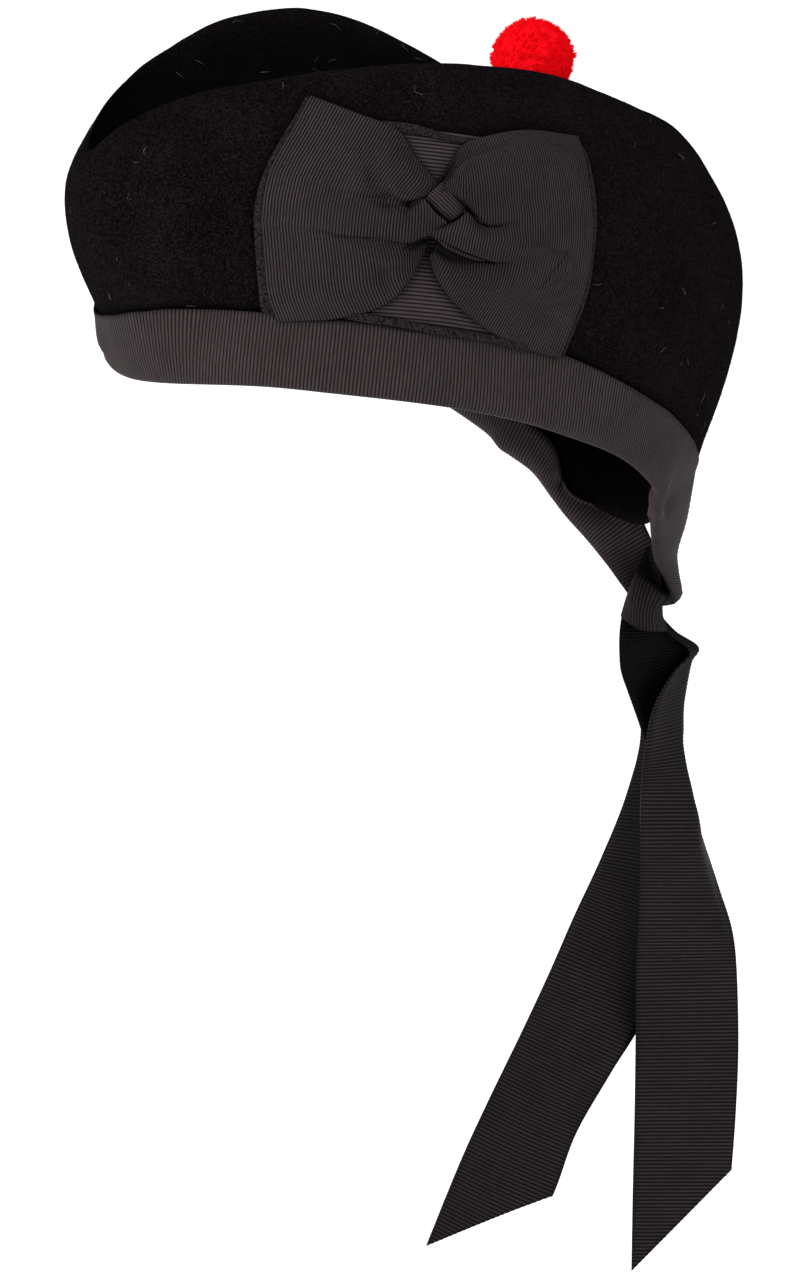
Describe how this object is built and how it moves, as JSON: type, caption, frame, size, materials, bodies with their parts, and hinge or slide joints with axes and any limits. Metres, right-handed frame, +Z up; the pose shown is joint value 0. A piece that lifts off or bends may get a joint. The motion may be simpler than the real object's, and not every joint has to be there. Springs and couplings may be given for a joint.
{
  "type": "glengarry cap",
  "caption": "Folded felt cap with a dented top, ribbed ribbon band, bow cockade on its left side, wool ball on top and ribbon tails tied behind.",
  "frame": {"origin": "middle of the head opening at the level where the cap sits on a head", "axes": "+Z up, -Y the way the wearer faces, +X the wearer's left, where the cockade is"},
  "size_m": [0.1756, 0.2476, 0.4465],
  "materials": {
    "felt": "near-black milled wool felt, short nap with fine lint",
    "grosgrain": "warm black ribbed ribbon with a faint sheen",
    "wool": "bright red clipped wool tufts"
  },
  "bodies": {
    "root": {"crown": "felt", "band": "grosgrain", "toorie": "wool", "cockade_patch": "grosgrain", "cockade_front_wing": "grosgrain", "cockade_rear_wing": "grosgrain", "cockade_twist": "grosgrain", "tie_left": "grosgrain", "tie_right": "grosgrain", "tie_knot": "grosgrain", "tail_right": "grosgrain", "tail_left": "grosgrain"}
  },
  "joints": []
}
